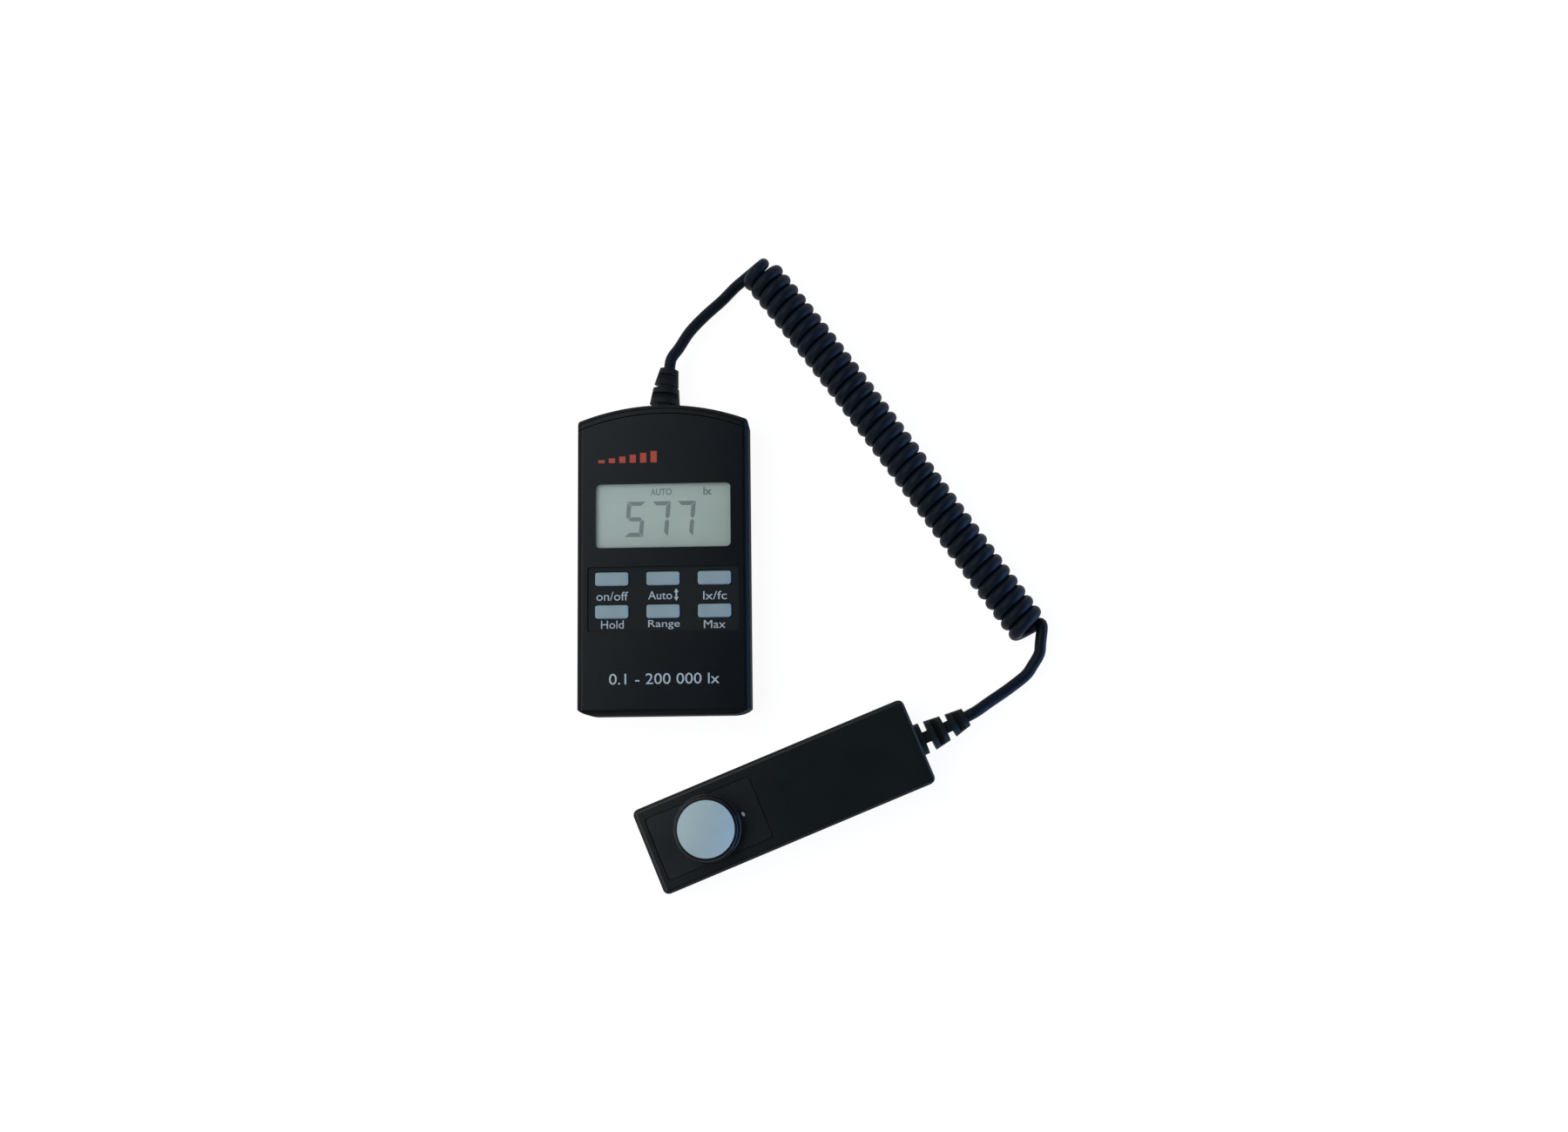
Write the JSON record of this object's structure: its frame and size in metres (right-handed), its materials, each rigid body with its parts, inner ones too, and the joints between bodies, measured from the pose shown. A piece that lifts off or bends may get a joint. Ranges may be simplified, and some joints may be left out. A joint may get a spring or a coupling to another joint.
{
  "type": "lux meter",
  "caption": "Handheld lux meter with a display and keys, joined by a curly cord to a sensor probe with a raised round white diffuser.",
  "frame": {"origin": "middle of the meter's flat back, on the surface that it lies on", "axes": "+Z out of the meter's face, +Y toward the curved end where the cord leaves, +X to the right of the face"},
  "size_m": [0.1787, 0.245, 0.0303],
  "materials": {
    "case": "fine moulded grain, black",
    "case_gloss": "smooth black",
    "window": "clear pane",
    "display": "grey-green liquid crystal display",
    "rubber": "soft black moulding",
    "chip": "black component body",
    "board": "green lacquered circuit board",
    "header": "white socket",
    "wire": "wire insulation",
    "cell": "printed steel can",
    "steel": "plated steel",
    "key": "light blue-grey, satin",
    "cord": "smooth black jacket",
    "diffuser": "white opal",
    "filter": "green correction glass"
  },
  "bodies": {
    "meter": {"front_shell": "case", "rear_shell": "case", "top_cap": "case", "keypad_plate": "case", "probe_upper_shell": "case", "probe_lower_shell": "case", "sensor_panel": "case", "sensor_turret": "case_gloss", "lcd_window": "window", "lcd_panel": "display", "lcd_connectors": "rubber", "key_switches": "chip", "board_chips": "chip", "main_board": "board", "probe_board": "board", "wire_header": "header", "cord_wires": "wire", "probe_wires": "wire", "battery_cell": "cell", "contact_plus": "steel", "contact_minus": "steel", "case_screws": "steel", "probe_screws": "steel", "photodiode": "steel", "meter_relief": "rubber", "probe_relief": "rubber", "meter_lead": "cord", "cord_coil": "cord", "probe_lead": "cord", "diffuser": "diffuser", "filter_glass": "filter"},
    "key_1": {"keycap_1": "key", "plunger_1": "chip"},
    "key_2": {"keycap_2": "key", "plunger_2": "chip"},
    "key_3": {"keycap_3": "key", "plunger_3": "chip"},
    "key_4": {"keycap_4": "key", "plunger_4": "chip"},
    "key_5": {"keycap_5": "key", "plunger_5": "chip"},
    "key_6": {"keycap_6": "key", "plunger_6": "chip"},
    "cover": {"battery_cover": "case"}
  },
  "joints": [
    {"name": "key_1_press", "type": "slide", "parent": "meter", "child": "key_1", "axis": [0, 0, -1], "range_m": [0, 0.0006], "stiffness_N_per_m": 300},
    {"name": "key_2_press", "type": "slide", "parent": "meter", "child": "key_2", "axis": [0, 0, -1], "range_m": [0, 0.0006], "stiffness_N_per_m": 300},
    {"name": "key_3_press", "type": "slide", "parent": "meter", "child": "key_3", "axis": [0, 0, -1], "range_m": [0, 0.0006], "stiffness_N_per_m": 300},
    {"name": "key_4_press", "type": "slide", "parent": "meter", "child": "key_4", "axis": [0, 0, -1], "range_m": [0, 0.0006], "stiffness_N_per_m": 300},
    {"name": "key_5_press", "type": "slide", "parent": "meter", "child": "key_5", "axis": [0, 0, -1], "range_m": [0, 0.0006], "stiffness_N_per_m": 300},
    {"name": "key_6_press", "type": "slide", "parent": "meter", "child": "key_6", "axis": [0, 0, -1], "range_m": [0, 0.0006], "stiffness_N_per_m": 300},
    {"name": "cover_slide", "type": "slide", "parent": "meter", "child": "cover", "axis": [0, -1, 0], "range_m": [0, 0.009]}
  ]
}
